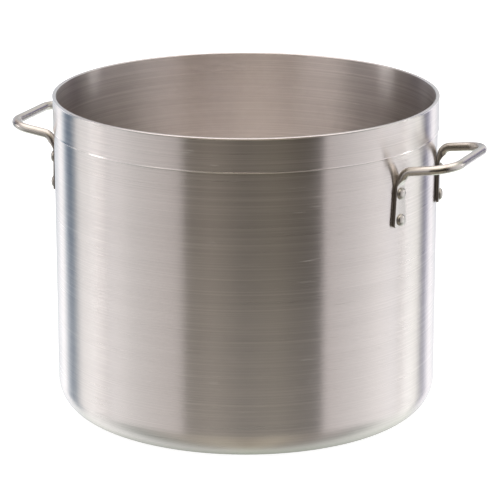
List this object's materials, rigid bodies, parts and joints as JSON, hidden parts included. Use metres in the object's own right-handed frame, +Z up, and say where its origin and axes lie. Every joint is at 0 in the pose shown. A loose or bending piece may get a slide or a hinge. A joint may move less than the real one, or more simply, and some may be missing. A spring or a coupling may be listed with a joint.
{
  "type": "stock pot",
  "caption": "Large straight-sided open stock pot with a flat base, rounded base corner, thicker top band and two riveted bent-rod loop handles.",
  "frame": {"origin": "centre of the flat base's underside, on the surface the pot stands on", "axes": "+Z up along the pot's axis, +X towards the right handle, -X towards the left handle; both handles are set 1.2 degrees towards -Y from the X axis, so the pot mirrors onto itself across YZ"},
  "size_m": [0.5794, 0.458, 0.382],
  "materials": {
    "spun_aluminium": "satin, spun, with fine rings around the wall",
    "rod_aluminium": "plain drawn rod, dull satin",
    "rivet_aluminium": "plain, hammered smooth"
  },
  "bodies": {
    "root": {"pot_shell": "spun_aluminium", "handle_right": "rod_aluminium", "handle_left": "rod_aluminium", "rivet_right_front_upper": "rivet_aluminium", "rivet_right_front_lower": "rivet_aluminium", "rivet_right_rear_upper": "rivet_aluminium", "rivet_right_rear_lower": "rivet_aluminium", "rivet_left_front_upper": "rivet_aluminium", "rivet_left_front_lower": "rivet_aluminium", "rivet_left_rear_upper": "rivet_aluminium", "rivet_left_rear_lower": "rivet_aluminium"}
  },
  "joints": []
}
